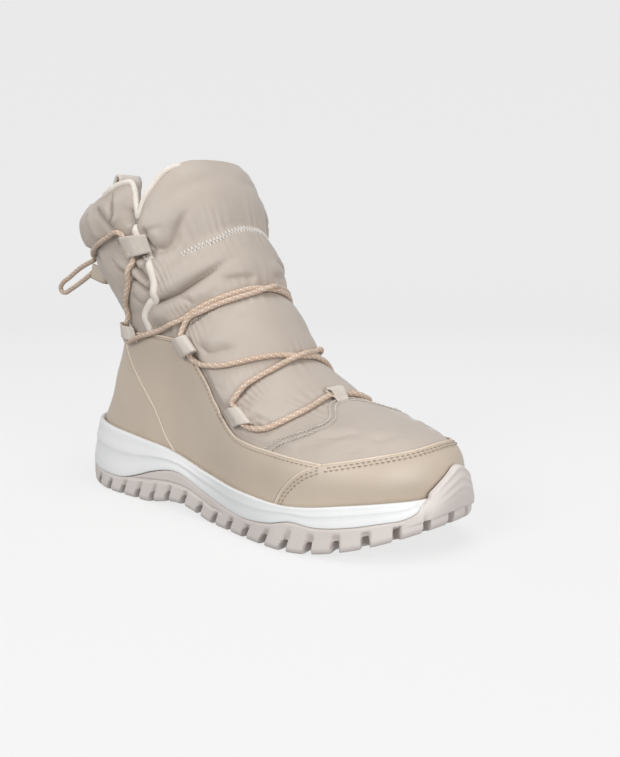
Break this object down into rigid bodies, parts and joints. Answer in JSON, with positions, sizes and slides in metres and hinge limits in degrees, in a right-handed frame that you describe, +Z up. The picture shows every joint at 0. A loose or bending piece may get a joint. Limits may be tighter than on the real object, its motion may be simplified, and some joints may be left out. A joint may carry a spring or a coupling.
{
  "type": "winter boot",
  "caption": "Right-foot padded winter boot with a quilted hollow upper, leather toe, sides and heel, cord lacing, foam midsole and lugged rubber sole.",
  "frame": {"origin": "centre of the boot's box in plan, on the floor that it stands on", "axes": "+X from heel to toe, +Y towards the inner side of the foot, +Z up"},
  "size_m": [0.3173, 0.1153, 0.2084],
  "materials": {
    "nylon": "greige satin nylon over padding",
    "foam": "white moulded foam",
    "rubber": "pinkish grey moulded rubber",
    "leather": "smooth tan leather with a faint grain",
    "fleece": "cream brushed lining",
    "cord": "round braided elastic cord, tan with pale flecks",
    "webbing": "flat woven tape"
  },
  "bodies": {
    "root": {"upper": "nylon", "midsole": "foam", "outsole": "rubber", "insole": "fleece", "toe_guard": "leather", "quarter_lateral": "leather", "quarter_medial": "leather", "heel_counter": "leather", "pull_loop": "leather", "cord_tab": "leather", "panel_binding_lateral": "fleece", "panel_binding_medial": "fleece", "lace_throat": "cord", "lace_cross": "cord", "lace_double": "cord", "lace_side_lateral": "cord", "lace_side_medial": "cord", "lace_collar": "cord", "lace_bight": "cord", "keeper_throat": "webbing", "keeper_lower_lateral": "webbing", "keeper_lower_medial": "webbing", "keeper_middle_lateral": "webbing", "keeper_middle_medial": "webbing", "keeper_rear_lateral": "webbing", "keeper_rear_medial": "webbing", "keeper_collar_lateral": "webbing", "keeper_collar_medial": "webbing"}
  },
  "joints": []
}
